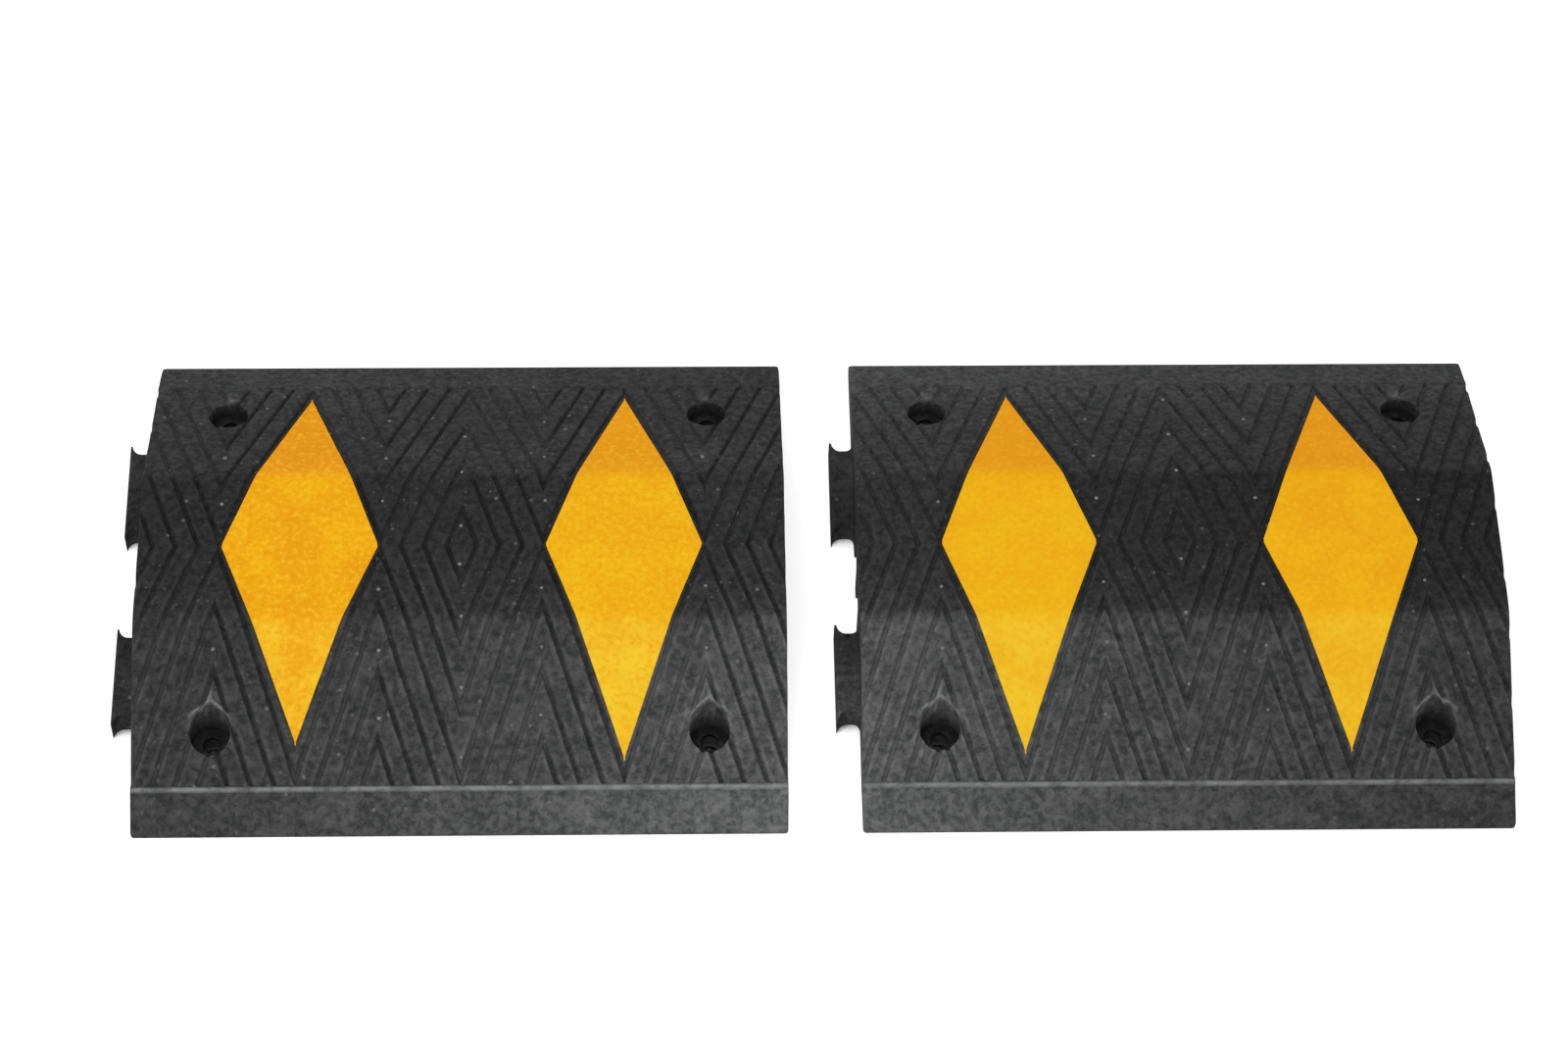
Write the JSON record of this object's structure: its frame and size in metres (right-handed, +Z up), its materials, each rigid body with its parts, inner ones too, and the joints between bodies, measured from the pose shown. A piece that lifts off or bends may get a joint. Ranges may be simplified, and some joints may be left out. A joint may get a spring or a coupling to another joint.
{
  "type": "speed bump",
  "caption": "Pair of moulded rubber speed bump sections with yellow reflective diamonds, grooved tread, sunk bolt seats and dovetail ends.",
  "frame": {"origin": "road level under the middle of the pair's bounding box, tabs included", "axes": "+X along the bump towards the socket ends, +Y across it in the direction of travel, +Z up from the road"},
  "size_m": [1.074, 0.43, 0.075],
  "materials": {
    "rubber": "moulded black crumb rubber, matt, with a fine grain",
    "reflective_film": "yellow glass-bead reflective film, satin",
    "blackened_steel": "blackened, dull"
  },
  "bodies": {
    "right_section": {"right_rubber_body": "rubber", "right_reflector_1": "reflective_film", "right_reflector_2": "reflective_film", "right_seat_washer_1": "blackened_steel", "right_seat_washer_2": "blackened_steel", "right_seat_washer_3": "blackened_steel", "right_seat_washer_4": "blackened_steel"},
    "left_section": {"left_rubber_body": "rubber", "left_reflector_1": "reflective_film", "left_reflector_2": "reflective_film", "left_seat_washer_1": "blackened_steel", "left_seat_washer_2": "blackened_steel", "left_seat_washer_3": "blackened_steel", "left_seat_washer_4": "blackened_steel"}
  },
  "joints": [
    {"name": "left_section_lift", "type": "slide", "parent": "right_section", "child": "left_section", "axis": [0, 0, 1], "range_m": [0, 0.1]}
  ]
}
